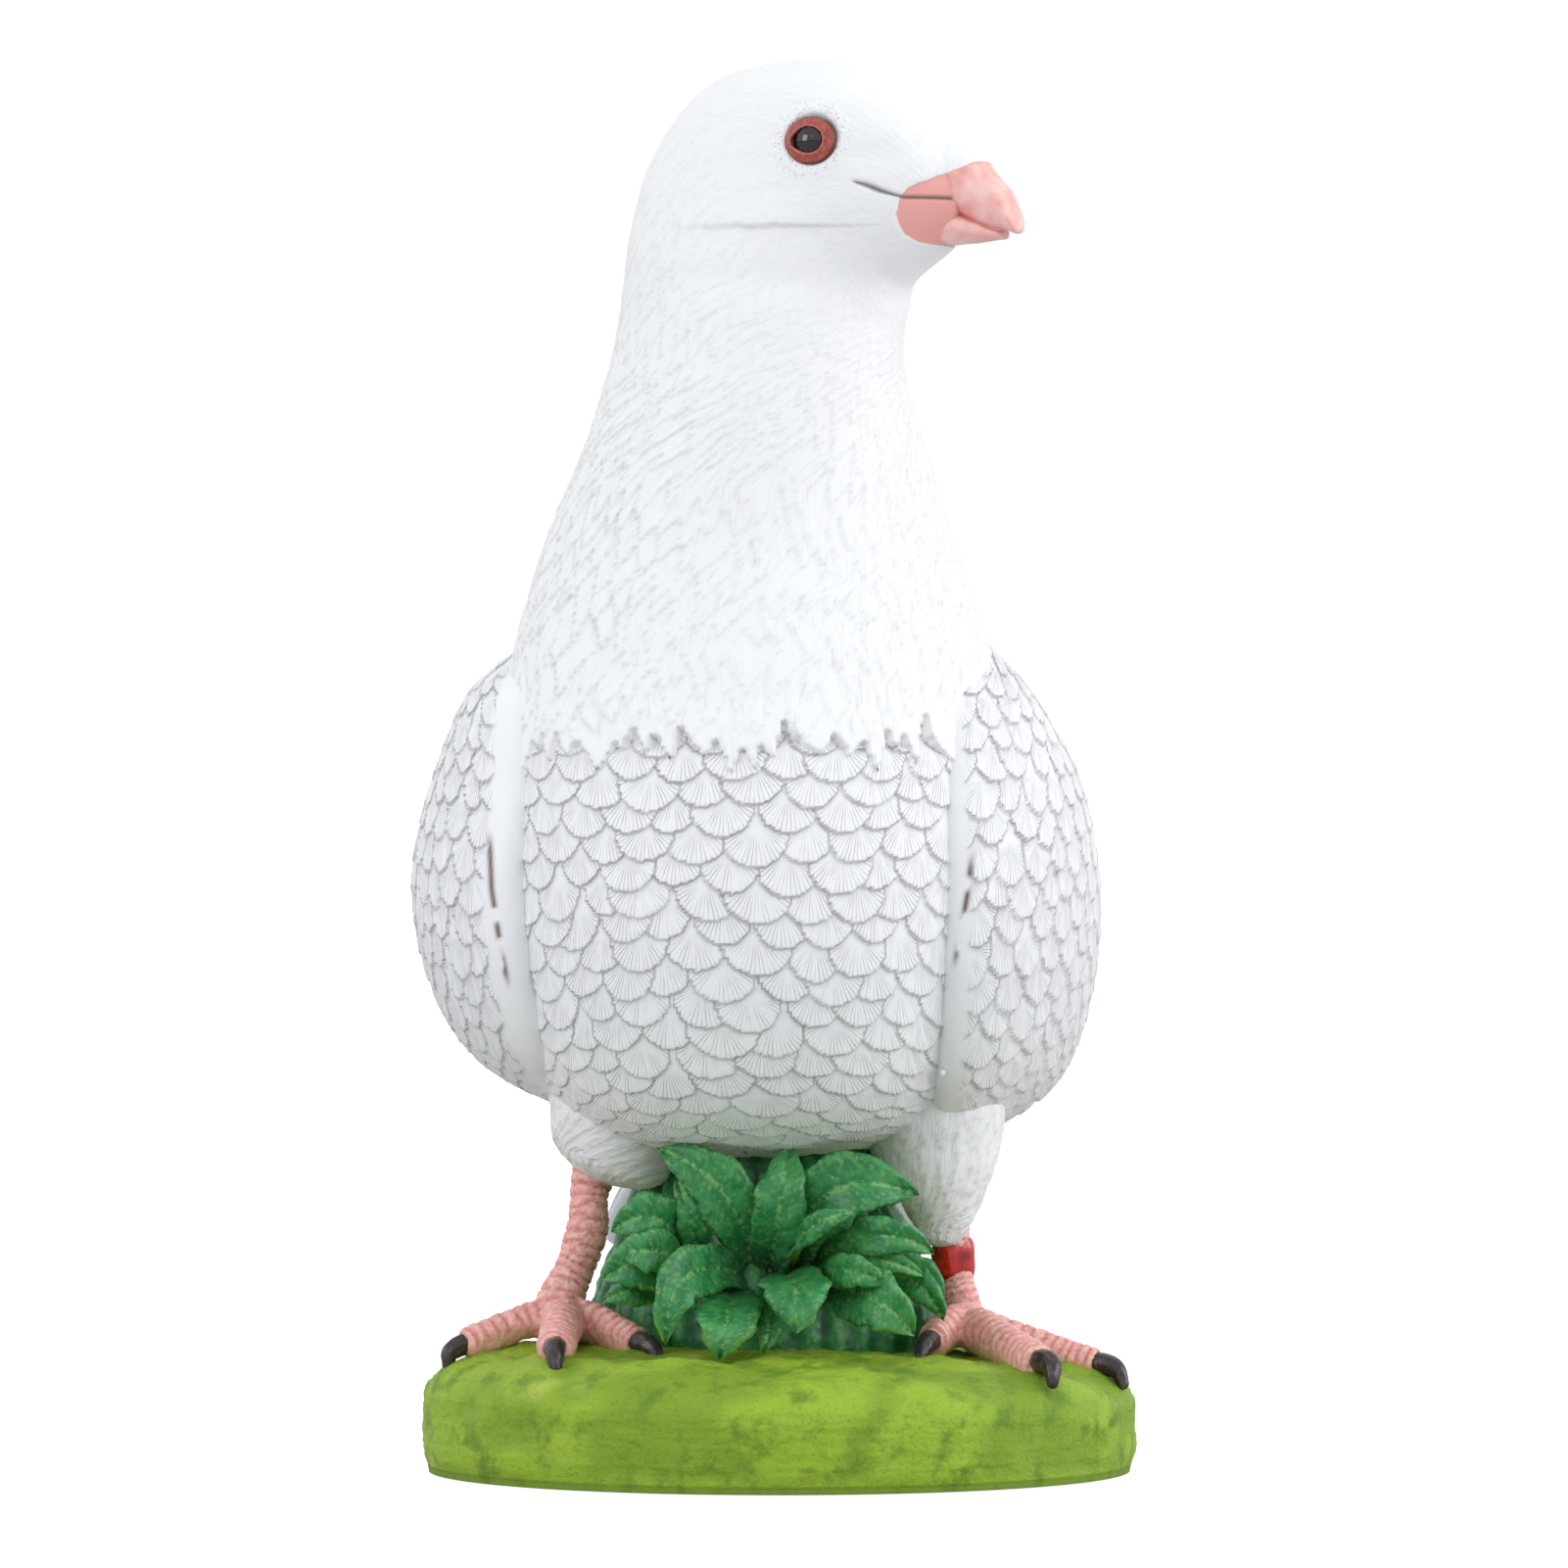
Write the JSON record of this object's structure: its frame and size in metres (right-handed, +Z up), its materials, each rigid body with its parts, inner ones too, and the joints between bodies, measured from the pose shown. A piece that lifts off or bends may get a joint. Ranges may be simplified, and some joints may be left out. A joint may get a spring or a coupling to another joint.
{
  "type": "pigeon garden statue",
  "caption": "Life-size white pigeon garden statue, cast resin, standing on an oval mossy mound with a leafy plant, head turned to its left, with inset glossy eyes.",
  "frame": {"origin": "middle of the flat underside of the mound, on the surface the statue stands on", "axes": "+Z up; the breast faces -Y and the tail points to +Y; +X is the bird's left, the side its bill turns to"},
  "size_m": [0.1405, 0.2201, 0.2731],
  "materials": {
    "white_paint": "painted resin, satin white with a faint grey wash in the cut lines",
    "pink_paint": "painted resin, satin pink, dry-brushed pale on the scutes",
    "claw_paint": "glossy black-brown paint",
    "red_enamel": "glossy red paint",
    "lid_paint": "glossy red-brown paint",
    "eye_gloss": "polished black bead",
    "leaf_paint": "painted resin, satin green, veins dry-brushed pale green",
    "moss_paint": "painted resin, matt yellow-green mottled with darker green"
  },
  "bodies": {
    "root": {"pigeon_statue": "white_paint", "right_eye": "eye_gloss", "left_eye": "eye_gloss"}
  },
  "joints": []
}
